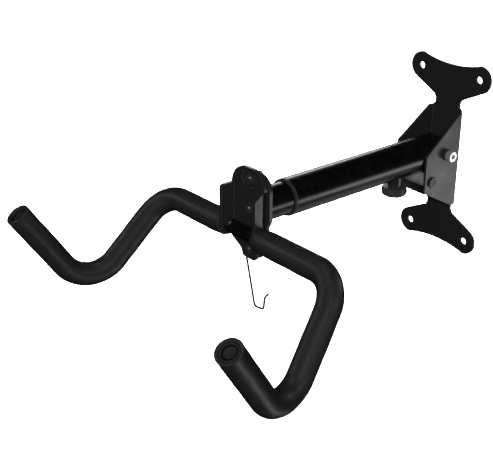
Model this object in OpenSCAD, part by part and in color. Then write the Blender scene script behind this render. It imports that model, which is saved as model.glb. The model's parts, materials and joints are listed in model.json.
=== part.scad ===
// Bicycle wall rack: a wall plate with two bent ears, a folding telescopic arm,
// a tilting arm bracket and two padded hooks that carry a bicycle by its top tube.
// Millimetres.  The wall is the plane y = 0, the rack reaches out along -Y, +Z is up
// and the origin is the middle of the four wall holes.

/* [Wall plate] */
// Spacing of the wall holes along X
hole_dx = 88; // [80:1:100]
// Spacing of the wall holes along Z
hole_dz = 207; // [195:1:225]
// Diameter of the wall holes
hole_d = 9; // [7:0.5:10]
// Radius of the four rounded wings
wing_r = 16.5; // [14:0.5:18]
// Thickness of the plate sheet
plate_t = 3; // [2.5:0.5:3]
// How far the ears reach out from the wall
ear_reach = 60.7; // [58:0.1:64]

/* [Telescopic arm] */
// Outer diameter of the outer tube
outer_od = 42; // [41:0.5:42]
// Outer diameter of the inner tube
inner_od = 37; // [36:0.5:37]
// Wall of both tubes
tube_wall = 1.5; // [1.2:0.1:1.6]
// Height of the tube axis above the middle of the wall holes
tube_z = 10.5; // [9:0.5:12]
// Distance from the wall to the fold pivot
pivot_out = 24.5; // [24:0.1:26]
// Distance from the wall to the front of the outer tube
outer_front = 262.7; // [240:0.1:270]
// Distance from the wall to the clamp knob axis
knob_out = 88; // [84:1:92]
// Diameter of the clamp knob
knob_d = 31; // [26:1:36]

/* [Arm bracket] */
// Distance from the wall to the back of the head plate
head_out = 303; // [298:1:308]
// Half width of the head plate and of the arm bracket
head_half = 24.5; // [24:0.5:26]
// Thickness of the head plate and of the arm bracket
head_t = 4; // [3.5:0.5:4]
// Gap between the head plate and the arm bracket
head_gap = 3.5; // [3.5:0.1:4]
// Distance between the tilt pivot and the tilt lock bolt
tilt_r = 33.5; // [32:0.5:35]
// Tilt to each side, in degrees
tilt_max = 7; // [4:1:8]

/* [Hooks] */
// Outer diameter of the steel hook bars
bar_d = 16; // [15:1:16]
// Outer diameter of the foam sleeves
foam_d = 28.1; // [26:0.1:30]
// Height of the crossbar axis
bar_z = -15.6; // [-17:0.1:-14]
// Distance from the wall to the crossbar axis
bar_out = 320.1; // [319:0.1:322]
// Radius of the hook bends, on the bar's axis
bend_r = 39; // [34:1:42]

/* [Hidden] */
$fn = 48;

black = [0.07, 0.07, 0.07];
zinc = [0.80, 0.81, 0.82];
oxide = [0.05, 0.05, 0.06];

run_fit = 0.05;       // radial clearance of a running fit
gap = 0.3;            // clearance between parts that only pass each other
weld_eps = 0.01;

ear_in = outer_od / 2 + gap;         // inner face of an ear
ear_out = ear_in + plate_t;          // outer face of an ear
neck_half = 18.3;                    // half width of the plate between the wings and ears
ear_top = 62;                        // top of the bent strip at the wall
pivot = [0, -pivot_out, tube_z];
m8 = 8;
m8_af = 13;
bolt_len = 60;
washer_d = 16;
washer_t = 1.6;

stop_r = 8;                          // stop sleeve under the tube
stop_y = -49;
stop_z = tube_z - outer_od / 2 - gap - stop_r;
dimple_r = 8.5;
dimple_depth = 1.5;

tail_r = 19;                         // rounded rear end of the outer tube
lip = 3;                             // lip of the front bush
bush_len = 16;
tube_id = outer_od - 2 * tube_wall;
inner_tail = -50;                    // rear end of the inner tube
boss_d = 17;
boss_bottom = -19.5;
knob_top = -20.5;
knob_bottom = -32;
pad_top = tube_z - inner_od / 2 - gap;
pad_h = 3;

plate_back = -head_out;
plate_front = plate_back - head_t;
web_back = plate_front - head_gap;
web_front = web_back - head_t;
pocket = 1.2;                        // depth of the recess round the tilt lock bolt
pocket_w = washer_d + 1;
head_bolt_d = 14.5;
head_bolt_h = 5.6;
lock_z = tube_z + tilt_r;
hook_z = -37;                        // height of the helmet hook's screw

bar_y = -bar_out;
bar_wall = 1.5;
cap_d = 20;
bend_1 = [144.3, bar_y, bar_z];
bend_2 = [169.9, -415.5, -125.6];
tip = [185.1, -489.4, -12.2];

wire_r = 1.2;
hook_y = web_front - 1.4;

// ---------- helpers ----------

function unit(v) = v / norm(v);

// points of a polygon with each corner i rounded to radius r[i]
function round_corner(a, p, b, r, n) =
    let (u = unit(a - p), w = unit(b - p),
         half = acos(u * w) / 2,
         t = r / tan(half),
         c = p + unit(u + w) * (r / sin(half)),
         s = p + u * t - c,
         e = p + w * t - c,
         a0 = atan2(s[1], s[0]),
         a1 = atan2(e[1], e[0]),
         d = a1 - a0 > 180 ? a1 - a0 - 360 : a1 - a0 < -180 ? a1 - a0 + 360 : a1 - a0)
    r <= 0 ? [p] : [for (k = [0 : n]) c + r * [cos(a0 + d * k / n), sin(a0 + d * k / n)]];

function rounded(pts, r, n = 8) =
    let (m = len(pts))
    [for (i = [0 : m - 1])
        each round_corner(pts[(i + m - 1) % m], pts[i], pts[(i + 1) % m], r[i], n)];

function mirrored(pts) = [for (i = [len(pts) - 1 : -1 : 0]) [-pts[i][0], pts[i][1]]];

// a flat outline in X and Z, from y0 forwards by t
module sheet_xz(pts, y0, t) {
    translate([0, y0, 0]) rotate([90, 0, 0]) linear_extrude(t) polygon(pts);
}

// a flat outline in Y and Z, from x0 towards +X by t
module sheet_yz(pts, x0, t) {
    translate([x0, 0, 0])
        multmatrix([[0, 0, 1, 0], [1, 0, 0, 0], [0, 1, 0, 0], [0, 0, 0, 1]])
            linear_extrude(t) polygon(pts);
}

// round bar along X, centred at p
module bar_x(p, d, x0, x1) {
    translate([x0, p[1], p[2]]) rotate([0, 90, 0]) cylinder(d = d, h = x1 - x0);
}

// round bar along -Y, starting at y0
module bar_y(x, z, d, y0, len) {
    translate([x, y0, z]) rotate([90, 0, 0]) cylinder(d = d, h = len);
}

module hex_x(p, af, x0, x1) {
    translate([x0, p[1], p[2]]) rotate([0, 90, 0])
        cylinder(d = af / cos(30), h = x1 - x0, $fn = 6);
}

// frame whose columns are u, v and u x v, placed at c
module frame_at(c, u, v) {
    w = cross(u, v);
    multmatrix([[u[0], v[0], w[0], c[0]], [u[1], v[1], w[1], c[1]],
                [u[2], v[2], w[2], c[2]], [0, 0, 0, 1]])
        children();
}

module rod(a, b, r) {
    d = unit(b - a);
    side = unit(cross(d, abs(d[2]) > 0.9 ? [1, 0, 0] : [0, 0, 1]));
    frame_at(a, side, cross(d, side)) cylinder(r = r, h = norm(b - a));
}

// round elbow at corner p, between straights that come from a and go on to b
module elbow(a, p, b, big_r, r) {
    d1 = unit(p - a);
    d2 = unit(b - p);
    turn = acos(d1 * d2);
    start = p - d1 * big_r * tan(turn / 2);
    inward = unit(d2 - d1 * (d1 * d2));
    centre = start + inward * big_r;
    frame_at(centre, -inward, d1)
        rotate_extrude(angle = turn, $fn = 96) translate([big_r, 0]) circle(r = r);
}

function tangent_len(a, p, b, big_r) =
    big_r * tan(acos(unit(p - a) * unit(b - p)) / 2);

// round bar along a list of corners, with the same bend radius at each; the straights
// reach a little way into the elbows, which are a hair thicker
elbow_step = 0.02;
elbow_seat = 0.2;
module bent_bar(pts, big_r, r) {
    n = len(pts);
    function trim(i) = (i <= 0 || i >= n - 1) ? 0
        : tangent_len(pts[i - 1], pts[i], pts[i + 1], big_r) - elbow_seat;
    for (i = [0 : n - 2]) {
        d = unit(pts[i + 1] - pts[i]);
        rod(pts[i] + d * trim(i), pts[i + 1] - d * trim(i + 1), r);
    }
    for (i = [1 : n - 2])
        elbow(pts[i - 1], pts[i], pts[i + 1], big_r, r + elbow_step);
}

function side_point(p, s) = [s * p[0], p[1], p[2]];
function arm_points(s, x0, grow = 0) =
    [side_point([x0, bar_y, bar_z], s), side_point(bend_1, s), side_point(bend_2, s),
     side_point(tip + unit(tip - bend_2) * grow, s)];

// ---------- wall plate and its hardware ----------

// round relief at each end of the ears' bends, which also fillets the wing into the neck
relief_r = 8.3;
relief_z = 67;

// right half of the upper wing's outline, from the neck to the middle of the top edge
sag_r = 155;
sag_z = hole_dz / 2 + 9.9;
relief_end = 115;                    // angle at which the relief runs out into the wing
wing_half = [
    [neck_half, relief_z - 9],
    [neck_half, relief_z],
    [neck_half + relief_r, relief_z],
    [neck_half + relief_r + (relief_r - 0.1) * cos(relief_end),
     relief_z + (relief_r - 0.1) * sin(relief_end)],
];
wing_lobe = [for (a = [-65 : 10 : 95])
    [hole_dx / 2 + wing_r * cos(a), hole_dz / 2 + wing_r * sin(a)]];
wing_top = [for (x = [hole_dx / 2 - 5 : -6.5 : 0])
    [x, sag_z + sag_r - sqrt(sag_r * sag_r - x * x)]];

module wing() {
    outline = concat(wing_half, wing_lobe, wing_top);
    difference() {
        sheet_xz(concat(outline, mirrored(outline)), 0, plate_t);
        for (s = [-1, 1])
            translate([s * hole_dx / 2, 1, hole_dz / 2]) rotate([90, 0, 0])
                cylinder(d = hole_d, h = plate_t + 2);
    }
}

// the left ear is cut a little fuller at the top
function ear_outline(s) = rounded(
    [[1, s > 0 ? 63.5 : 65.3], [-ear_reach, s > 0 ? 15.1 : 25.5], [-ear_reach, -30.9], [1, -65]],
    [0, 3, 3, 0]);

module ear(s) {
    difference() {
        union() {
            sheet_yz(ear_outline(s), s > 0 ? ear_in : -ear_out, plate_t);
            // the pressed dimple stands proud of the inner face
            bar_x([0, stop_y, stop_z], 2 * dimple_r,
                  s > 0 ? ear_in - dimple_depth : -ear_in - weld_eps,
                  s > 0 ? ear_in + weld_eps : -ear_in + dimple_depth);
        }
        bar_x([0, stop_y, stop_z], 2 * (dimple_r - 1.5),
              s > 0 ? ear_out - dimple_depth : -ear_out - 1,
              s > 0 ? ear_out + 1 : -ear_out + dimple_depth);
    }
}

module wall_plate() {
    color(black) difference() {
        union() {
            wing();
            mirror([0, 0, 1]) wing();
            translate([-ear_out, -plate_t, -ear_top - 1.5])
                cube([2 * ear_out, plate_t, 2 * ear_top + 2]);
            translate([-neck_half, -plate_t, -ear_top - 4])
                cube([2 * neck_half, plate_t, 2 * ear_top + 8]);
            ear(-1);
            ear(1);
        }
        // everything behind the wall plane
        translate([-40, 0, -80]) cube([80, 20, 160]);
        for (s = [-1, 1], t = [-1, 1])
            translate([s * (neck_half + relief_r), 1, t * relief_z]) rotate([90, 0, 0])
                cylinder(r = relief_r, h = plate_t + 5);
        // rounded outside of the two bends, which end at the reliefs
        for (s = [-1, 1]) difference() {
            translate([s > 0 ? ear_out - 4 : -ear_out - 1, -4, -66]) cube([5, 5, 132]);
            translate([s * (ear_out - 4), -4, -67]) cylinder(r = 4, h = 134);
        }
        bar_x(pivot, m8 + 0.4, -ear_out - 1, ear_out + 1);
        bar_x([0, stop_y, stop_z], m8 + 0.4, -ear_out - 1, ear_out + 1);
    }
}

pivot_washer_d = 14;
pivot_washer_t = 2;
pivot_head_d = 13;
pivot_head_h = 7.6;
module pivot_bolt() {
    x_head = ear_out + pivot_washer_t;
    x_face = x_head + pivot_head_h;
    color(zinc) difference() {
        union() {
            bar_x(pivot, m8, x_head - bolt_len, x_head + weld_eps);
            bar_x(pivot, pivot_head_d, x_head, x_face - 0.6);
            bar_x(pivot, pivot_head_d - 1, x_face - 0.6 - weld_eps, x_face);
        }
        hex_x(pivot, 6, x_face - 4.5, x_face + 1);
    }
}

module pivot_nut() {
    seat = -ear_out - pivot_washer_t;
    nut_h = 6.5;
    color(zinc) difference() {
        union() {
            hex_x(pivot, m8_af, seat - nut_h, seat);
            bar_x(pivot, m8_af - 2, seat - nut_h - 1.8, seat - nut_h + 0.1);
        }
        bar_x(pivot, m8, -60, -20);
    }
}

module pivot_washers() {
    color(oxide) for (x = [ear_out, -ear_out - pivot_washer_t]) difference() {
        bar_x(pivot, pivot_washer_d, x, x + pivot_washer_t);
        bar_x(pivot, m8, x - 1, x + pivot_washer_t + 1);
    }
}

stop_axis = [0, stop_y, stop_z];
module stop_sleeve() {
    end = ear_in - dimple_depth;
    color(zinc) difference() {
        bar_x(stop_axis, 2 * stop_r, -end, end);
        bar_x(stop_axis, m8 + 0.4, -end - 1, end + 1);
    }
}

module stop_bolt() {
    seat = ear_out - dimple_depth;
    color(oxide) difference() {
        union() {
            bar_x(stop_axis, m8, -seat - 8, seat + weld_eps);
            hex_x(stop_axis, 11.5, seat, seat + 4);
        }
        bar_x(stop_axis, 6, seat + 3.5, seat + 5);
    }
}

module stop_nut() {
    seat = ear_out - dimple_depth;
    color(oxide) difference() {
        hex_x(stop_axis, 11.5, -seat - 6, -seat);
        bar_x(stop_axis, m8, -seat - 7, -seat + 1);
    }
}

// ---------- folding arm ----------

module outer_tube() {
    color(black) difference() {
        intersection() {
            bar_y(0, tube_z, outer_od, 0, outer_front);
            union() {
                bar_x(pivot, 2 * tail_r, -30, 30);
                translate([-30, -outer_front - 1, tube_z - 30])
                    cube([60, outer_front + 1 - pivot_out, 60]);
            }
        }
        bar_y(0, tube_z, tube_id, 1, outer_front + 2);
        bar_x(pivot, 12, -30, 30);
        translate([0, -knob_out, tube_z - outer_od / 2 - 4])
            cylinder(d = m8 + 2 * run_fit, h = 10);
    }
}

module pivot_bush() {
    half = outer_od / 2 - 0.1;
    color(zinc) difference() {
        bar_x(pivot, 12, -half, half);
        bar_x(pivot, m8 + 2 * run_fit, -half - 1, half + 1);
    }
}

module knob_boss() {
    color(black) difference() {
        translate([0, -knob_out, boss_bottom]) cylinder(d = boss_d, h = 14);
        bar_y(0, tube_z, outer_od, -knob_out + 20, 40);
        translate([0, -knob_out, boss_bottom - 1])
            cylinder(d = m8 + 2 * run_fit, h = 20);
    }
}

module front_bush() {
    color(black) difference() {
        union() {
            bar_y(0, tube_z, tube_id, -outer_front + bush_len, bush_len + weld_eps);
            bar_y(0, tube_z, outer_od, -outer_front, lip - 0.6);
            bar_y(0, tube_z, outer_od - 1.2, -outer_front - lip + 0.61, 0.61);
        }
        bar_y(0, tube_z, inner_od + 2 * run_fit, -outer_front + bush_len + 1, 40);
    }
}

module pressure_pad() {
    color("silver") translate([0, -knob_out, pad_top - pad_h])
        cylinder(d = m8, h = pad_h);
}

module clamp_stud() {
    color(zinc) translate([0, -knob_out, knob_top - 7])
        cylinder(d = m8, h = pad_top - pad_h - 0.1 - knob_top + 7);
}

module clamp_knob() {
    r = knob_d / 2;
    profile = concat(
        [[0, knob_bottom], [r - 6, knob_bottom]],
        [for (a = [-75 : 15 : 0]) [r - 5 + 5 * cos(a), knob_bottom + 5 + 5 * sin(a)]],
        [for (a = [0 : 15 : 75]) [r - 4 + 4 * cos(a), knob_top - 4.6 + 4 * sin(a)]],
        [[7.5, knob_top - 0.2], [7.5, knob_top], [0, knob_top]]);
    color(black) difference() {
        translate([0, -knob_out, 0]) rotate_extrude() polygon(profile);
        translate([0, -knob_out, knob_top - 7]) cylinder(d = m8, h = 8);
        for (a = [0 : 45 : 315])
            translate([(r + 2.4) * cos(a), -knob_out + (r + 2.4) * sin(a), knob_bottom - 1])
                cylinder(r = 4, h = 20, $fn = 24);
    }
}

// ---------- sliding inner tube and the head plate ----------

module inner_tube() {
    color(black) difference() {
        bar_y(0, tube_z, inner_od, inner_tail, head_out + inner_tail);
        bar_y(0, tube_z, inner_od - 2 * tube_wall, inner_tail + 1, head_out + inner_tail + 2);
    }
}

module tail_guide() {
    bore = inner_od - 2 * tube_wall;
    color([0.12, 0.12, 0.12]) difference() {
        union() {
            bar_y(0, tube_z, tube_id - 2 * run_fit, inner_tail + 4, 4);
            bar_y(0, tube_z, bore, inner_tail + 1, 13);
        }
        bar_y(0, tube_z, bore - 5, inner_tail + 5, 20);
    }
}

waist_half = 20;                     // narrow enough for the foam to pass at full tilt
head_outline = rounded(
    [[head_half, 50.5], [-head_half, 50.5], [-head_half, 0], [-waist_half, -8],
     [-waist_half, -35], [-12, -41], [-11, -47],
     [11, -47], [12, -41], [waist_half, -35], [waist_half, -8], [head_half, 0]],
    [18, 18, 3, 3, 3, 3, 5, 5, 3, 3, 3, 3]);

module head_plate() {
    color(black) difference() {
        sheet_xz(head_outline, plate_back, head_t);
        for (z = [tube_z, lock_z])
            bar_y(0, z, m8 + 0.2, plate_back + 1, head_t + 2);
    }
}

// button head with a hex socket, its bearing face at y and its dome towards -Y
module button_head(x, y, z, d, h, socket) {
    r = d / 2;
    ball = (r * r + h * h) / (2 * h);
    difference() {
        translate([x, y, z]) rotate([90, 0, 0]) intersection() {
            translate([0, 0, h - ball]) sphere(r = ball, $fn = 48);
            cylinder(r = r, h = h);
        }
        translate([x, y - h * 0.45, z]) rotate([90, 0, 0])
            cylinder(d = socket / cos(30), h = h, $fn = 6);
    }
}

// the washers clear the turning bracket by a hair
pivot_seat = web_front - 0.1;
lock_seat = web_front + pocket - 0.1;

weld_nut_h = 4;
module clamping_bolt(z, seat) {
    end = plate_back + weld_nut_h + 1;
    color(oxide) union() {
        bar_y(0, z, m8, end, end - seat + washer_t + weld_eps);
        button_head(0, seat - washer_t, z, head_bolt_d, head_bolt_h, 5);
    }
}
module tilt_bolt() { clamping_bolt(tube_z, pivot_seat); }
module tilt_lock_bolt() { clamping_bolt(lock_z, lock_seat); }

module tilt_washers() {
    color(oxide) for (v = [[tube_z, pivot_seat], [lock_z, lock_seat]]) difference() {
        bar_y(0, v[0], washer_d, v[1], washer_t);
        bar_y(0, v[0], m8, v[1] + 1, washer_t + 2);
    }
}

module tilt_nuts() {
    color(oxide) for (z = [tube_z, lock_z]) difference() {
        bar_y(0, z, 12, plate_back + weld_nut_h, weld_nut_h);
        bar_y(0, z, m8, plate_back + weld_nut_h + 1, weld_nut_h + 2);
    }
}

module tilt_spacers() {
    color(zinc) for (v = [[tube_z, 22], [lock_z, 14]]) difference() {
        bar_y(0, v[0], v[1], plate_front, head_gap - 0.1);
        bar_y(0, v[0], m8, plate_front + 1, head_gap + 2);
    }
}

// ---------- tilting arm bracket and the hooks ----------

web_left = -head_half - 5;           // the left wall stands further out than the right one
web_right = head_half;
web_top = 56.5;
bracket_outline = rounded(
    [[web_right, web_top], [web_left, web_top], [web_left, -30.5], [-12.5, -40], [-11, -48],
     [11, -48], [12.5, -40], [web_right, -30.5]],
    [20, 24, 3, 3, 5, 5, 3, 3], 16);

// side walls: a straight front edge down to a round end about the crossbar
lobe_r = 10.4;
lobe_y = bar_y - 1;
lobe = [for (a = [0 : 12 : 180]) [lobe_y - lobe_r * cos(a), bar_z - lobe_r * sin(a)]];
left_front = lobe_y - lobe_r;
left_top = 33.5;
left_corner = 4;
left_wall = concat([[web_back, left_top]],
    [for (k = [0 : 4]) let (a = 22.5 * k)
        [left_front + left_corner * (1 - sin(a)), left_top - left_corner * (1 - cos(a))]],
    lobe, [[web_back, bar_z]]);
right_front = -327;
right_wall = concat(
    [[web_back, 35.5], [web_front - 1.5, 35.5], [right_front + 1, 28.5], [right_front, 27],
     [right_front, -3]],
    lobe, [[web_back, bar_z]]);

// an arc-shaped slot about the tilt pivot, cut from y0 forwards by t
module tilt_slot(w, y0, t) {
    for (a = [-tilt_max, tilt_max])
        bar_y(tilt_r * sin(a), tube_z + tilt_r * cos(a), w, y0, t);
    translate([0, y0, tube_z]) rotate([90, 0, 0]) rotate([0, 0, 90 - tilt_max])
        rotate_extrude(angle = 2 * tilt_max, $fn = 96)
            translate([tilt_r - w / 2, 0]) square([w, t]);
}

// rounds the outside of a bend whose centre line stands at x, on side s
module bend_cut(x, s, r) {
    difference() {
        translate([s > 0 ? x : x - r - 1, web_back - r, -29]) cube([r + 1, r + 1, 65]);
        translate([x, web_back - r, -30]) cylinder(r = r, h = 67);
    }
}

module arm_bracket() {
    color(black) difference() {
        union() {
            sheet_xz(bracket_outline, web_back, head_t);
            sheet_yz(left_wall, web_left, head_t);
            sheet_yz(right_wall, web_right - head_t, head_t);
        }
        bend_cut(web_left + 3, -1, 3);
        bend_cut(web_right - 8, 1, 8);
        bar_y(0, tube_z, m8 + 2 * run_fit, web_back + 1, head_t + 2);
        tilt_slot(m8 + 0.8, web_back + 1, head_t + 2);
        tilt_slot(pocket_w, web_front + pocket, pocket + 1);
        bar_y(0, hook_z, 5, web_back + 1, head_t + 2);
        bar_x([0, bar_y, bar_z], bar_d, web_left - 1, web_right + 1);
    }
}

module arm_tube(s) {
    color(black) difference() {
        bent_bar(arm_points(s, 0.1), bend_r, bar_d / 2);
        bent_bar(arm_points(s, -2, 3), bend_r, bar_d / 2 - bar_wall);
        // seat of the arm screw
        arm_screw_hole(s);
    }
}
module left_arm_tube() { arm_tube(-1); }
module right_arm_tube() { arm_tube(1); }

// the left screw enters from the front and above, the right one from the front and below
module at_arm_screw(s) {
    x = s < 0 ? -21 : 15;
    above = s < 0 ? 50 : -65;
    translate([x, bar_y, bar_z]) rotate([90 - above, 0, 0]) children();
}
screw_d = 5;
module arm_screw_hole(s) { at_arm_screw(s) cylinder(d = screw_d, h = 12, $fn = 32); }

module arm_joiner() {
    color("silver") difference() {
        bar_x([0, bar_y, bar_z], bar_d - 2 * bar_wall, -35, 35);
        for (s = [-1, 1]) arm_screw_hole(s);
    }
}

module arm_screws() {
    seat = bar_d / 2;
    color(oxide) for (s = [-1, 1]) at_arm_screw(s) difference() {
        union() {
            translate([0, 0, 1]) cylinder(d = screw_d, h = seat);
            intersection() {
                translate([0, 0, seat]) cylinder(d = 8.5, h = 2.8);
                translate([0, 0, seat - 2.6]) sphere(r = 5.4, $fn = 48);
            }
        }
        translate([0, 0, seat + 1.3]) cylinder(d = 3 / cos(30), h = 3, $fn = 6);
    }
}

module foam_sleeve(s) {
    d = unit(tip - bend_2);
    foam_from = (s < 0 ? -web_left : web_right) + 0.7;
    color([0.09, 0.09, 0.09]) difference() {
        bent_bar(arm_points(s, foam_from, 2.5), bend_r, foam_d / 2);
        bent_bar(arm_points(s, foam_from - 4, 6), bend_r, bar_d / 2);
        rod(side_point(tip - d * 12, s), side_point(tip + d * 6, s), cap_d / 2);
    }
}
module left_foam_sleeve() { foam_sleeve(-1); }
module right_foam_sleeve() { foam_sleeve(1); }

module end_cap(s) {
    d = unit(tip - bend_2);
    color(black) difference() {
        rod(side_point(tip - d * 11.5, s), side_point(tip + d * 1.5, s), cap_d / 2);
        rod(side_point(tip - d * 14, s), side_point(tip, s), bar_d / 2);
    }
}
module left_end_cap() { end_cap(-1); }
module right_end_cap() { end_cap(1); }

module hook_screw() {
    color(oxide) union() {
        bar_y(0, hook_z, 5, web_back - 1, head_t - 1 + weld_eps);
        bar_y(0, hook_z, 6, web_front, 2.8 + weld_eps);
        button_head(0, web_front - 2.8, hook_z, 10.5, 3, 3);
    }
}

// where a line from v touches the circle of radius r about c, on its left
function touch_point(v, c, r) =
    let (d = v - c, l = norm(d), side = [d[1], -d[0]])
    c + d * (r * r / (l * l)) + side * (r * sqrt(l * l - r * r) / (l * l));

function in_hook_plane(p) = [p[0], hook_y, p[1]];

module helmet_hook() {
    eye_r = 3 + run_fit + wire_r;
    eye_turn = 300;
    centre = [0, hook_z];
    // corners of the wire below its eye, in X and Z
    corners = [[12.2, -101], [27, -98.5], [28.8, -84], [34, -77.5]];
    start = touch_point(corners[0], centre, eye_r);
    lead = start - unit(corners[0] - start) * 0.1;
    at = atan2(start[1] - centre[1], start[0] - centre[0]);
    pts = [for (c = concat([lead], corners)) in_hook_plane(c)];
    color(black) union() {
        translate([0, hook_y, hook_z]) rotate([90, 0, 0]) rotate([0, 0, at - eye_turn])
            rotate_extrude(angle = eye_turn, $fn = 96)
                translate([eye_r, 0]) circle(r = wire_r + elbow_step);
        bent_bar(pts, 4.2, wire_r);
        translate(pts[4]) sphere(r = wire_r + elbow_step);
    }
}

wall_plate();
pivot_bolt();
pivot_nut();
pivot_washers();
stop_sleeve();
stop_bolt();
stop_nut();
outer_tube();
pivot_bush();
knob_boss();
front_bush();
pressure_pad();
clamp_knob();
clamp_stud();
inner_tube();
tail_guide();
head_plate();
tilt_bolt();
tilt_lock_bolt();
tilt_washers();
tilt_nuts();
tilt_spacers();
arm_bracket();
left_arm_tube();
right_arm_tube();
arm_joiner();
arm_screws();
left_foam_sleeve();
right_foam_sleeve();
left_end_cap();
right_end_cap();
hook_screw();
helmet_hook();
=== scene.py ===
"""Looks of the bicycle wall rack: materials, foam sleeves, end caps, studio and camera.

Metres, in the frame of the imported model: the wall is y = 0 and the rack reaches out along -Y.
"""
import json
import math

import bmesh
import bpy
from mathutils import Matrix, Vector, noise

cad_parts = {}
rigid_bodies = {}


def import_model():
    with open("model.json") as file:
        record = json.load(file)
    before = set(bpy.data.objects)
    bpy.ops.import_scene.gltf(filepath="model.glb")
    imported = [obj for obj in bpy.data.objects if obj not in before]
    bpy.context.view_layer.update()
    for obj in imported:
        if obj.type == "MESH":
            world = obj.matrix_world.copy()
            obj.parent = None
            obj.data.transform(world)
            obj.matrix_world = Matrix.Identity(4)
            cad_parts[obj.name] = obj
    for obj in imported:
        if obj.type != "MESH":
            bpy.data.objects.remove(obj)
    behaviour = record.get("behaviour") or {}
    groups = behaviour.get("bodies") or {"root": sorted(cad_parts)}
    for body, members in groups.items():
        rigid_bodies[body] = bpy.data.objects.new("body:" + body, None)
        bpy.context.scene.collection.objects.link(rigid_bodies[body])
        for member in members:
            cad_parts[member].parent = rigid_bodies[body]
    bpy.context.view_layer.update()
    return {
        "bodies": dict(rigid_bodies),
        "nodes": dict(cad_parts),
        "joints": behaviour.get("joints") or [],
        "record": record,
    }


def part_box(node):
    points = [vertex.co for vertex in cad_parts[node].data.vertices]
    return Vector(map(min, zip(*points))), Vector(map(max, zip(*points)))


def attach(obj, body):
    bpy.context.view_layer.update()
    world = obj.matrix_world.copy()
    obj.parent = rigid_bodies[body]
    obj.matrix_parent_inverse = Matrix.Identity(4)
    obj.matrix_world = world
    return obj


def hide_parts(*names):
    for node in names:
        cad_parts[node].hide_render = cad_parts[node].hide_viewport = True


MM = 0.001
TURN = 2 * math.pi
BEVEL_SAMPLES = 6

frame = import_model()
nodes = frame["nodes"]
scene = bpy.context.scene


# ---------- shader helpers ----------

class Nodes:
    """A material with a Principled shader, and short ways to add nodes to it."""

    def __init__(self, name, color, roughness, metallic=0.0, specular=0.5):
        self.mat = bpy.data.materials.new(name)
        self.mat.use_nodes = True
        self.tree = self.mat.node_tree
        self.shader = self.tree.nodes["Principled BSDF"]
        self.shader.inputs["Base Color"].default_value = (*color, 1)
        self.shader.inputs["Roughness"].default_value = roughness
        self.shader.inputs["Metallic"].default_value = metallic
        self.shader.inputs["Specular IOR Level"].default_value = specular
        self.coords = self.add("ShaderNodeTexCoord").outputs["Object"]

    def add(self, kind, **values):
        node = self.tree.nodes.new(kind)
        for key, value in values.items():
            setattr(node, key, value)
        return node

    def link(self, a, b):
        self.tree.links.new(a, b)

    def stretched(self, scale):
        """Object coordinates scaled along X, Y and Z."""
        mapping = self.add("ShaderNodeMapping")
        mapping.inputs["Scale"].default_value = scale
        self.link(self.coords, mapping.inputs["Vector"])
        return mapping.outputs["Vector"]

    def noise(self, scale, detail=2.0, rough=0.5, vector=None):
        tex = self.add("ShaderNodeTexNoise")
        tex.inputs["Scale"].default_value = scale
        tex.inputs["Detail"].default_value = detail
        tex.inputs["Roughness"].default_value = rough
        self.link(vector or self.coords, tex.inputs["Vector"])
        return tex.outputs["Fac"]

    def voronoi(self, scale):
        tex = self.add("ShaderNodeTexVoronoi", feature="F1")
        tex.inputs["Scale"].default_value = scale
        self.link(self.coords, tex.inputs["Vector"])
        return tex.outputs["Distance"]

    def ramp(self, value, stops):
        """A map from value to grey or colour, given as (position, colour) stops."""
        node = self.add("ShaderNodeValToRGB")
        elements = node.color_ramp.elements
        while len(elements) < len(stops):
            elements.new(0.5)
        for element, (at, color) in zip(elements, stops):
            if isinstance(color, float):
                color = (color, color, color)
            element.position = at
            element.color = (*color, 1)
        self.link(value, node.inputs["Fac"])
        return node.outputs["Color"]

    def math(self, operation, a, b):
        node = self.add("ShaderNodeMath", operation=operation)
        for socket, value in zip(node.inputs, (a, b)):
            if isinstance(value, (int, float)):
                socket.default_value = value
            else:
                self.link(value, socket)
        return node.outputs["Value"]

    def bump(self, heights, bevel=0.0):
        """Bumps from (height output, depth in metres) pairs, over edges rounded by bevel."""
        normal = None
        if bevel:
            node = self.add("ShaderNodeBevel", samples=BEVEL_SAMPLES)
            node.inputs["Radius"].default_value = bevel
            normal = node.outputs["Normal"]
        for height, depth in heights:
            node = self.add("ShaderNodeBump")
            node.inputs["Distance"].default_value = depth
            node.inputs["Strength"].default_value = 1.0
            self.link(height, node.inputs["Height"])
            if normal:
                self.link(normal, node.inputs["Normal"])
            normal = node.outputs["Normal"]
        if normal:
            self.link(normal, self.shader.inputs["Normal"])

    def set(self, socket, output):
        self.link(output, self.shader.inputs[socket])

    def vary(self, socket, texture, *stops):
        """Drive a socket of the shader by a texture, through a ramp of stops."""
        self.set(socket, self.ramp(texture, stops))

    def worn_edges(self, amount, base, bright, bevel):
        """Base colour that lightens a little where a rounded edge turns the normal."""
        node = self.add("ShaderNodeBevel", samples=BEVEL_SAMPLES)
        node.inputs["Radius"].default_value = bevel
        geometry = self.add("ShaderNodeNewGeometry")
        dot = self.add("ShaderNodeVectorMath", operation="DOT_PRODUCT")
        self.link(node.outputs["Normal"], dot.inputs[0])
        self.link(geometry.outputs["Normal"], dot.inputs[1])
        edge = self.math("SUBTRACT", 1.0, dot.outputs["Value"])
        patch = self.noise(180, 3)
        mask = self.math("MULTIPLY", edge, self.math("MULTIPLY", patch, amount))
        mix = self.add("ShaderNodeMix", data_type="RGBA")
        mix.inputs["A"].default_value = (*base, 1)
        mix.inputs["B"].default_value = (*bright, 1)
        self.link(mask, mix.inputs["Factor"])
        self.set("Base Color", mix.outputs["Result"])


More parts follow.
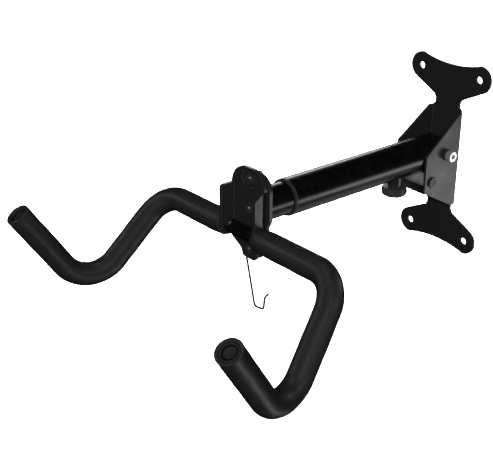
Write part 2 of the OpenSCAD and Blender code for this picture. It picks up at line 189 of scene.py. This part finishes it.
def powder_coat():
    black, worn = (0.0055, 0.0055, 0.0058), (0.05, 0.05, 0.052)
    rough = 0.30
    m = Nodes("powder_coat", black, rough)
    m.worn_edges(3.0, black, worn, 0.7 * MM)
    peel = m.noise(620, 2, 0.45)
    speck = m.noise(2600, 1, 0.5)
    m.bump([(peel, 0.035 * MM), (speck, 0.008 * MM)], bevel=0.5 * MM)
    m.vary("Roughness", m.noise(38, 4, 0.6), (0.3, rough - 0.05), (0.7, rough + 0.07))
    return m.mat


def gloss_coat():
    m = Nodes("tube_coat", (0.006, 0.006, 0.0065), 0.24)
    peel = m.noise(480, 2, 0.4)
    m.bump([(peel, 0.02 * MM)], bevel=0.4 * MM)
    scuff = m.noise(60, 6, 0.65, m.stretched((1, 0.15, 1)))
    m.vary("Roughness", scuff, (0.35, 0.20), (0.62, 0.27), (0.75, 0.36))
    m.vary("Base Color", m.noise(90, 5, 0.6),
           (0.4, (0.0010, 0.0010, 0.0011)), (0.75, (0.0022, 0.0022, 0.0024)))
    return m.mat


def zinc():
    m = Nodes("bright_zinc", (0.78, 0.79, 0.80), 0.30, metallic=0.92)
    turned = m.noise(420, 3, 0.6, m.stretched((6, 1, 1)))
    m.bump([(turned, 0.02 * MM)], bevel=0.3 * MM)
    m.vary("Roughness", m.noise(160, 4, 0.6), (0.3, 0.16), (0.7, 0.34))
    m.vary("Base Color", m.noise(120, 5, 0.6),
           (0.3, (0.60, 0.61, 0.63)), (0.65, (0.80, 0.81, 0.83)))
    return m.mat


def black_oxide():
    m = Nodes("black_oxide", (0.02, 0.02, 0.021), 0.26, metallic=0.6)
    m.bump([(m.noise(900, 3, 0.6), 0.003 * MM)], bevel=0.25 * MM)
    m.vary("Roughness", m.noise(300, 4, 0.6), (0.3, 0.20), (0.7, 0.28))
    m.vary("Base Color", m.noise(240, 4, 0.6),
           (0.35, (0.010, 0.010, 0.011)), (0.7, (0.024, 0.023, 0.023)))
    return m.mat


def plain_steel():
    m = Nodes("turned_steel", (0.42, 0.42, 0.43), 0.35, metallic=1.0)
    m.bump([(m.noise(500, 3, 0.6, m.stretched((8, 1, 1))), 0.03 * MM)], bevel=0.3 * MM)
    m.vary("Roughness", m.noise(200, 4), (0.3, 0.28), (0.7, 0.45))
    return m.mat


def brass():
    m = Nodes("brass_pad", (0.72, 0.52, 0.22), 0.32, metallic=1.0)
    m.bump([(m.noise(700, 3, 0.6), 0.015 * MM)], bevel=0.3 * MM)
    m.vary("Base Color", m.noise(260, 4), (0.3, (0.60, 0.42, 0.17)), (0.7, (0.78, 0.60, 0.28)))
    return m.mat


def nylon():
    m = Nodes("moulded_nylon", (0.010, 0.010, 0.010), 0.42)
    m.bump([(m.noise(1500, 2, 0.5), 0.012 * MM)], bevel=0.35 * MM)
    m.vary("Roughness", m.noise(120, 4), (0.3, 0.36), (0.7, 0.50))
    return m.mat


def knob_plastic():
    m = Nodes("knob_plastic", (0.012, 0.012, 0.012), 0.40)
    grain = m.voronoi(1300)
    m.bump([(grain, 0.03 * MM)], bevel=0.5 * MM)
    m.vary("Roughness", m.noise(90, 4), (0.3, 0.34), (0.7, 0.48))
    return m.mat


def cap_plastic():
    m = Nodes("cap_plastic", (0.008, 0.008, 0.008), 0.16)
    m.bump([(m.noise(260, 3, 0.5), 0.02 * MM)])
    m.vary("Roughness", m.noise(150, 4), (0.3, 0.12), (0.7, 0.26))
    return m.mat


def wire_coat():
    m = Nodes("wire_coat", (0.010, 0.010, 0.010), 0.35)
    m.bump([(m.noise(1600, 2), 0.01 * MM)])
    m.vary("Roughness", m.noise(220, 4), (0.3, 0.28), (0.7, 0.45))
    return m.mat


def foam_skin():
    """Closed-cell foam: a matt skin with fine pores, dimples and mottling."""
    m = Nodes("foam_skin", (0.007, 0.007, 0.0072), 0.5, specular=0.4)
    pores = m.voronoi(2100)
    dimples = m.noise(760, 3, 0.6)
    lumps = m.noise(95, 3, 0.5)
    m.bump([(lumps, 0.12 * MM), (dimples, 0.02 * MM), (pores, 0.012 * MM)])
    m.vary("Roughness", m.noise(55, 4, 0.6), (0.3, 0.42), (0.7, 0.52))
    m.vary("Base Color", m.noise(140, 5, 0.65),
           (0.3, (0.0042, 0.0042, 0.0043)), (0.72, (0.0064, 0.0064, 0.0066)))
    return m.mat


COAT = powder_coat()
TUBE = gloss_coat()
ZINC = zinc()
OXIDE = black_oxide()
STEEL = plain_steel()
BRASS = brass()
NYLON = nylon()
KNOB = knob_plastic()
CAP = cap_plastic()
WIRE = wire_coat()
FOAM = foam_skin()

MATERIALS = {
    "wall_plate": COAT, "head_plate": COAT, "arm_bracket": COAT, "knob_boss": COAT,
    "outer_tube": TUBE, "inner_tube": TUBE, "left_arm_tube": TUBE, "right_arm_tube": TUBE,
    "pivot_bolt": ZINC, "pivot_nut": ZINC, "stop_sleeve": ZINC,
    "pivot_bush": ZINC, "clamp_stud": ZINC, "tilt_spacers": ZINC,
    "stop_bolt": OXIDE, "stop_nut": OXIDE, "tilt_bolt": OXIDE, "tilt_lock_bolt": OXIDE,
    "tilt_nuts": OXIDE, "tilt_washers": OXIDE, "pivot_washers": OXIDE, "arm_screws": OXIDE,
    "hook_screw": OXIDE,
    "front_bush": NYLON, "tail_guide": NYLON, "clamp_knob": KNOB,
    "pressure_pad": BRASS, "arm_joiner": STEEL, "helmet_hook": WIRE,
    "left_end_cap": CAP, "right_end_cap": CAP,
    "left_foam_sleeve": FOAM, "right_foam_sleeve": FOAM,
}


def assign(obj, material):
    obj.data.materials.clear()
    obj.data.materials.append(material)


for name, material in MATERIALS.items():
    assign(nodes[name], material)


# ---------- mesh helpers ----------

def add_mesh(name, bm, material, body, smooth=True):
    bmesh.ops.recalc_face_normals(bm, faces=bm.faces)
    mesh = bpy.data.meshes.new(name)
    bm.to_mesh(mesh)
    bm.free()
    if smooth:
        mesh.polygons.foreach_set("use_smooth", [True] * len(mesh.polygons))
    obj = bpy.data.objects.new(name, mesh)
    scene.collection.objects.link(obj)
    assign(obj, material)
    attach(obj, body)
    return obj


def join_rings(bm, a, b):
    for j in range(len(a)):
        k = (j + 1) % len(a)
        bm.faces.new((a[j], a[k], b[k], b[j]))


def rings_to_mesh(rings, closed=False):
    """Quads between rings of equal length. Closed joins the last ring to the first.

    Returns the mesh and its vertices, ring by ring.
    """
    bm = bmesh.new()
    made = [[bm.verts.new(p) for p in ring] for ring in rings]
    count = len(made)
    for i in range(count if closed else count - 1):
        join_rings(bm, made[i], made[(i + 1) % count])
    return bm, made


# ---------- centreline of the hook bars ----------

# Side is -1 for the left hook and 1 for the right one. Both hooks have the same corners,
# but the bracket's left wall stands further out, so the left foam starts later.
BEND_R = 39 * MM
FOAM_R = 14.05 * MM
BAR_R = 8.0 * MM
FOAM_START = {-1: 30.2 * MM, 1: 25.2 * MM}
CORNERS = [Vector((144.3, -320.1, -15.6)) * MM,
           Vector((169.9, -415.5, -125.6)) * MM,
           Vector((185.1, -489.4, -12.2)) * MM]


def side_points(side):
    points = [Vector((FOAM_START[side], CORNERS[0].y, CORNERS[0].z))] + CORNERS
    return [Vector((side * p.x, p.y, p.z)) for p in points]


def sweep_path(points, big_r, step):
    """Points about step apart along straights and round bends, each with its direction."""
    path = []
    start = points[0]
    for a, p, b in zip(points, points[1:], points[2:]):
        d1, d2 = (p - a).normalized(), (b - p).normalized()
        turn = d1.angle(d2)
        cut = big_r * math.tan(turn / 2)
        s, inward = p - d1 * cut, (d2 - d1 * d1.dot(d2)).normalized()
        centre = s + inward * big_r
        n = max(2, round((s - start).length / step))
        path += [(start.lerp(s, i / n), d1) for i in range(n)]
        n = max(4, round(big_r * turn / step))
        for i in range(n):
            t = turn * i / n
            path.append((centre - inward * big_r * math.cos(t) + d1 * big_r * math.sin(t),
                         d1 * math.cos(t) + inward * math.sin(t)))
        start = p + d2 * cut
    n = max(2, round((points[-1] - start).length / step))
    path += [(start.lerp(points[-1], i / n), d2) for i in range(n + 1)]
    return path


def cross_frames(path, side_hint):
    """Side vectors that don't twist along the path."""
    side = (side_hint - path[0][1] * side_hint.dot(path[0][1])).normalized()
    frames = []
    for _, d in path:
        side = (side - d * side.dot(d)).normalized()
        frames.append((side, d.cross(side)))
    return frames


FOAM_STEP = 3 * MM          # distance between rings along the foam
RING_COUNT = 56
BORE_R = BAR_R + 0.05 * MM
PAST_BAR = 2.5 * MM         # the foam's end stands this far past the bar's
INNER_R, INNER_EDGE = 13.0 * MM, 1.5 * MM   # the pinched inner end and its round edge
TAPER = 20 * MM             # length over which the foam swells to its full size
RIM = 1.6 * MM              # depth of the round rim at the outer end
RECESS_R = 10.0 * MM        # hole in the outer end, for the cap
LUMP_DEPTH, LUMP_SCALE = 0.35 * MM, 55


def foam_sleeve(name, side):
    """The sleeve as one closed tube: skin, rounded rims and the recess for the cap."""
    points = side_points(side)
    points[3] = points[3] + (points[3] - points[2]).normalized() * PAST_BAR
    path = sweep_path(points, BEND_R, FOAM_STEP)
    frames = cross_frames(path, Vector((0, 0, 1)))
    lengths = [0.0]
    for (a, _), (b, _) in zip(path, path[1:]):
        lengths.append(lengths[-1] + (b - a).length)
    total = lengths[-1]
    lump_shift = Vector((side * 3, 0, 0))

    def ring(at, frame, radius, bumpy=0.0):
        out = []
        for j in range(RING_COUNT):
            t = TURN * j / RING_COUNT
            arm = frame[0] * math.cos(t) + frame[1] * math.sin(t)
            p = at + arm * radius
            if bumpy:
                p += arm * bumpy * (noise.noise(p * LUMP_SCALE + lump_shift) - 0.35)
            out.append(p)
        return out

    # inner end: from the bar outwards over a small round edge
    at, d = path[0]
    frame = frames[0]
    flat_r = INNER_R - INNER_EDGE
    rings = [ring(at + d * 6 * MM, frame, BORE_R),
             ring(at + d * 0.6 * MM, frame, BORE_R),
             ring(at, frame, BAR_R + 0.8 * MM),
             ring(at, frame, flat_r)]
    for k in range(1, 5):
        t = math.pi / 2 * k / 4
        rings.append(ring(at + d * (1 - math.cos(t)) * INNER_EDGE, frame,
                          flat_r + INNER_EDGE * math.sin(t)))
    # the skin, which swells from the inner end to its full size
    for (at, d), frame, s in zip(path, frames, lengths):
        if s < INNER_EDGE + 1.0 * MM or s > total - RIM * 1.4:
            continue
        taper = min(1.0, s / TAPER)
        taper = taper * taper * (3 - 2 * taper)
        radius = INNER_R + (FOAM_R - 0.12 * MM - INNER_R) * taper
        rings.append(ring(at, frame, radius, LUMP_DEPTH * taper))
    # outer end: a soft round rim, then the recess round the cap
    at, d = path[-1]
    frame = frames[-1]
    middle = (FOAM_R + RECESS_R) / 2
    half = (FOAM_R - RECESS_R) / 2 - 0.1 * MM
    for k in range(9):
        t = math.pi * k / 8
        rings.append(ring(at - d * RIM * (1 - math.sin(t)), frame, middle + half * math.cos(t)))
    rings += [ring(at - d * 12 * MM, frame, RECESS_R + 0.05 * MM),
              ring(at - d * 12.5 * MM, frame, 9.0 * MM),
              ring(at - d * 13.5 * MM, frame, BORE_R)]
    # the bore, walked back, joins the two ends, so that the sleeve is one closed skin
    bore = [ring(at, frame, BORE_R) for (at, _), frame, s in zip(path, frames, lengths)
            if 7 * MM < s < total - 15 * MM]
    bm, _ = rings_to_mesh(rings + bore[::-1], closed=True)
    return add_mesh(name, bm, FOAM, "arm_head")


LATHE_COUNT = 64
# (distance past the bar's end, radius) in mm, from the skirt over the lip to the dished face
CAP_PROFILE = (
    (-11.4, 9.6), (-11.2, 9.9), (0.4, 9.92), (0.95, 9.8), (1.3, 9.5), (1.45, 9.1),
    (1.4, 8.7), (1.15, 8.35), (0.6, 8.1), (-0.2, 7.7), (-0.8, 7.0), (-1.3, 6.0),
    (-1.7, 4.6), (-1.95, 3.0), (-2.05, 1.5), (-2.08, 0.4))


def lathe(profile, at, direction):
    """A closed body of revolution. Profile is (distance along direction, radius) in mm."""
    side = direction.orthogonal().normalized()
    up = direction.cross(side)
    rings = []
    for z, r in profile:
        centre = at + direction * z * MM
        rings.append([])
        for j in range(LATHE_COUNT):
            t = TURN * j / LATHE_COUNT
            rings[-1].append(centre + (side * math.cos(t) + up * math.sin(t)) * r * MM)
    bm, made = rings_to_mesh(rings)
    for ends in (made[0], made[-1]):
        bm.faces.new(ends)
    return bm


def end_cap(name, side):
    """A moulded cap: a skirt, a rounded lip and a dished face."""
    points = side_points(side)
    bm = lathe(CAP_PROFILE, points[3], (points[3] - points[2]).normalized())
    return add_mesh(name, bm, CAP, "arm_head")


sleeves = []
for side, label in ((-1, "left"), (1, "right")):
    sleeve = foam_sleeve(label + "_foam_skin", side)
    sleeves.append(sleeve)
    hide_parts(label + "_foam_sleeve")
    cap = end_cap(label + "_moulded_cap", side)
    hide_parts(label + "_end_cap")


# ---------- knurled head of the fold pivot bolt ----------

KNURL_TEETH = 40
KNURL_ROOT_R, KNURL_TIP_R = 6.5 * MM, 6.66 * MM
KNURL_WALL = 0.9 * MM
KNURL_FROM, KNURL_TO = 7.4 * MM, 1.2 * MM   # distances back from the face of the head


def knurl(name, x0, x1, centre):
    """A toothed band round the X axis from x0 to x1, with chamfered ends."""
    def circle(x, radii):
        out = []
        for i in range(KNURL_TEETH * 4):
            t = TURN * (i + 0.5) / (KNURL_TEETH * 4)
            r = radii[i % 4]
            out.append((x, centre[0] + r * math.cos(t), centre[1] + r * math.sin(t)))
        return out

    rings = []
    for x, grow in ((x0, -0.25 * MM), (x0 + 0.3 * MM, 0), (x1 - 0.5 * MM, 0), (x1, -0.4 * MM)):
        root, tip = KNURL_ROOT_R + grow, KNURL_TIP_R + grow
        rings.append(circle(x, (root, tip, tip, root)))
    rings += [circle(x, (KNURL_ROOT_R - KNURL_WALL,) * 4) for x in (x1, x0)]
    bm, _ = rings_to_mesh(rings, closed=True)
    return add_mesh(name, bm, ZINC, "wall_bracket", smooth=False)


head_low, head_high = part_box("pivot_bolt")
axis = ((head_low.y + head_high.y) / 2, (head_low.z + head_high.z) / 2)
knurl("pivot_bolt_knurl", head_high.x - KNURL_FROM, head_high.x - KNURL_TO, axis)


# ---------- camera, as fitted to the photo ----------

CAMERA_AT = Vector((0.7666, -0.9537, 0.4403))
AZIMUTH, ELEVATION, ROLL = math.radians(50.33), math.radians(24.6), 0.005
SENSOR_MM, LENS_MM = 36, 74.98

back = Vector((math.sin(AZIMUTH) * math.cos(ELEVATION),
               -math.cos(AZIMUTH) * math.cos(ELEVATION),
               math.sin(ELEVATION)))
level_right = (-back).cross(Vector((0, 0, 1))).normalized()
level_up = level_right.cross(-back)
right = level_right * math.cos(ROLL) + level_up * math.sin(ROLL)
up = level_up * math.cos(ROLL) - level_right * math.sin(ROLL)
camera_data = bpy.data.cameras.new("camera")
camera_data.sensor_width = SENSOR_MM
camera_data.lens = LENS_MM
camera_data.clip_end = 50
camera = bpy.data.objects.new("camera", camera_data)
scene.collection.objects.link(camera)
camera.matrix_world = Matrix((
    (right.x, up.x, back.x, CAMERA_AT.x),
    (right.y, up.y, back.y, CAMERA_AT.y),
    (right.z, up.z, back.z, CAMERA_AT.z),
    (0, 0, 0, 1)))
scene.camera = camera


# ---------- studio ----------

FLOOR_Z, FLOOR_HALF = -0.9, 14
FLOOR_GLOW = 1.3
TARGET = Vector((0.0, -0.25, 0.0))
FOAM_LIGHT_SIZE = 0.2   # side of a foam light at one metre from the target
FOAM_LIGHT_POWER = 0.8  # its power there, in watts; both keep its look at any distance


def studio_floor():
    """A white floor that glows for the camera alone."""
    bm = bmesh.new()
    bmesh.ops.create_grid(bm, x_segments=4, y_segments=4, size=FLOOR_HALF)
    mesh = bpy.data.meshes.new("studio_floor")
    bm.to_mesh(mesh)
    bm.free()
    floor = bpy.data.objects.new("studio_floor", mesh)
    scene.collection.objects.link(floor)
    floor.location = (0, 0, FLOOR_Z)
    m = Nodes("floor_paint", (0.92, 0.92, 0.92), 0.9)
    m.shader.inputs["Emission Color"].default_value = (1, 1, 1, 1)
    m.shader.inputs["Emission Strength"].default_value = FLOOR_GLOW
    assign(floor, m.mat)
    floor.visible_glossy = False
    floor.visible_diffuse = False


def collection(name, objects):
    group = bpy.data.collections.new(name)
    for obj in objects:
        group.objects.link(obj)
    return group


def softbox(name, at, size, power, glossy=True, diffuse=True, only=None):
    """A light that faces the target. Only is the collection that it lights, if not all."""
    data = bpy.data.lights.new(name, "AREA")
    data.shape = "RECTANGLE"
    data.size, data.size_y = size
    data.energy = power
    lamp = bpy.data.objects.new(name, data)
    scene.collection.objects.link(lamp)
    lamp.location = at
    lamp.rotation_euler = (TARGET - Vector(at)).to_track_quat("-Z", "Y").to_euler()
    lamp.visible_camera = False
    lamp.visible_glossy = glossy
    lamp.visible_diffuse = diffuse
    if only is not None:
        lamp.light_linking.receiver_collection = only


studio_floor()
softbox("front_fill", (2.50, -2.95, 1.65), (0.8, 0.8), 440, glossy=False)
softbox("back_fill", (-2.60, 2.40, 1.30), (1.2, 1.2), 300, glossy=False)

# streaks on the hard parts: everything but the foam, with the floor among it
hard_only = collection("hard_only", [obj for obj in scene.objects
                                     if obj.type == "MESH" and obj not in sleeves])
for name, at, size, power in (
        ("rim_left", (-1.20, 0.80, 0.50), (0.5, 0.4), 2.5),
        ("low_right", (1.00, 0.80, -0.55), (0.8, 0.4), 2.9),
        ("under", (0.10, 0.40, -0.80), (0.7, 0.7), 0.6)):
    softbox(name, at, size, power, diffuse=False, only=hard_only)

# a brighter key for the black fasteners, which shows as one dot on each head
fasteners = collection("fasteners", [nodes[node_name] for node_name, material in MATERIALS.items()
                                     if material == OXIDE])
softbox("key_front", (0.85, -1.25, 1.05), (0.35, 0.35), 16, diffuse=False, only=fasteners)

# Each light here lies where one stretch of the foam mirrors it to the camera from the middle
# of its width, and lights the sleeves alone.
foam_only = collection("foam_only", sleeves)
for index, (toward, distance) in enumerate((
        ((-0.70, -0.58, 0.42), 2.0),
        ((0.64, -0.34, 0.69), 2.0),
        ((0.68, -0.65, 0.33), 2.0),
        ((0.53, 0.22, -0.82), 0.95),
        ((0.83, 0.05, -0.56), 1.4),
        ((0.35, 0.89, 0.30), 1.3),
        ((0.90, 0.26, 0.35), 1.5),
        ((-0.19, -0.10, 0.98), 2.0),
        ((-0.06, -0.99, -0.06), 2.0))):
    width = FOAM_LIGHT_SIZE * distance
    softbox("foam_light_%d" % index, TARGET + Vector(toward) * distance, (width, width),
            FOAM_LIGHT_POWER * distance ** 2, diffuse=False, only=foam_only)

world = bpy.data.worlds.new("studio")
scene.world = world
world.use_nodes = True
backdrop = world.node_tree.nodes["Background"]
backdrop.inputs["Color"].default_value = (1, 1, 1, 1)
backdrop.inputs["Strength"].default_value = 1.0
# the world is the white backdrop only; the lamps light the rack
world.cycles_visibility.diffuse = False
world.cycles_visibility.glossy = False

scene.view_settings.view_transform = "Standard"
scene.view_settings.look = "None"
